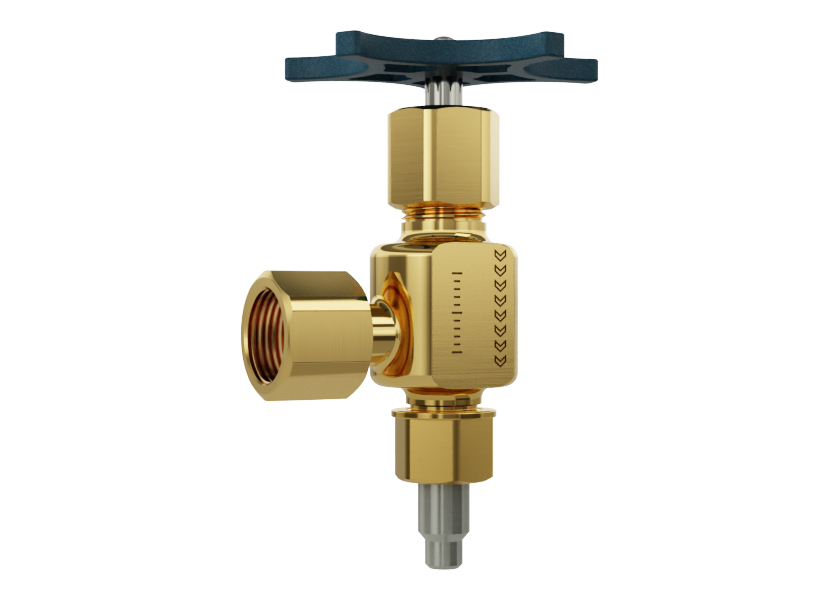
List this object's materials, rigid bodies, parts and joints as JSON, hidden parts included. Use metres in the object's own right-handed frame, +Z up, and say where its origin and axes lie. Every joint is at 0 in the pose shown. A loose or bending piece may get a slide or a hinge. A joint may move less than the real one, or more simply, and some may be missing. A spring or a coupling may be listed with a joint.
{
  "type": "needle valve",
  "caption": "Brass angle needle valve with a five-lobed handwheel, packing gland, swivel female side port and steel weld nipple.",
  "frame": {"origin": "on the spindle axis at the lower end of the pipe nipple", "axes": "+Z up along the spindle towards the handwheel, -X along the side port, -Y out of the engraved flat"},
  "size_m": [0.076, 0.0668, 0.1116],
  "materials": {
    "body_brass": "polished, with two satin brushed flats",
    "nut_brass": "fine brushed flats, polished corners",
    "fitting_brass": "turned",
    "stem_steel": "ground and polished",
    "nipple_steel": "turned satin",
    "hardware_steel": "zinc plated",
    "wheel_paint": "fine textured powder coat",
    "ptfe": "white sealing plastic"
  },
  "bodies": {
    "pipe": {"pipe_nipple": "nipple_steel", "pipe_gasket": "ptfe"},
    "union_nut": {"pipe_union_nut": "nut_brass"},
    "valve": {"valve_body": "body_brass", "seat_insert": "hardware_steel", "branch_nozzle": "fitting_brass", "branch_gasket": "ptfe", "packing_washer": "fitting_brass", "packing_ring_1": "ptfe", "packing_ring_2": "ptfe", "packing_ring_3": "ptfe", "packing_ring_4": "ptfe"},
    "side_nut": {"branch_union_nut": "nut_brass"},
    "needle": {"needle_tip": "stem_steel", "tip_retaining_ring": "hardware_steel", "thrust_ball": "hardware_steel"},
    "spindle": {"stem": "stem_steel", "handwheel": "wheel_paint", "handwheel_washer": "hardware_steel", "handwheel_nut": "hardware_steel"},
    "gland": {"gland_follower": "fitting_brass"},
    "gland_nut": {"packing_nut": "nut_brass"}
  },
  "joints": [
    {"name": "union_nut_turn", "type": "hinge", "parent": "pipe", "child": "union_nut", "pos_m": [0, 0, 0.026], "axis": [0, 0, -1], "range_deg": [0, 1440]},
    {"name": "valve_lift_off", "type": "slide", "parent": "pipe", "child": "valve", "axis": [0, 0, 1], "range_m": [0, 0.006]},
    {"name": "side_nut_swivel", "type": "hinge", "parent": "valve", "child": "side_nut", "pos_m": [-0.032, 0, 0.0491], "axis": [-1, 0, 0], "continuous": true},
    {"name": "needle_lift", "type": "slide", "parent": "valve", "child": "needle", "axis": [0, 0, 1], "range_m": [-0.0025, 0.0025]},
    {"name": "handwheel_turn", "type": "hinge", "parent": "needle", "child": "spindle", "pos_m": [0, 0, 0.08], "axis": [0, 0, 1], "range_deg": [-720, 720]},
    {"name": "gland_lift", "type": "slide", "parent": "valve", "child": "gland", "axis": [0, 0, 1], "range_m": [0, 0.003]},
    {"name": "packing_nut_turn", "type": "hinge", "parent": "gland", "child": "gland_nut", "pos_m": [0, 0, 0.085], "axis": [0, 0, 1], "range_deg": [0, 720]}
  ],
  "couplings": [
    {"joint": "union_nut_turn", "follows": "valve_lift_off", "rad_per_m": 4188.8},
    {"joint": "handwheel_turn", "follows": "needle_lift", "rad_per_m": 5026.5},
    {"joint": "packing_nut_turn", "follows": "gland_lift", "rad_per_m": 4188.8}
  ]
}
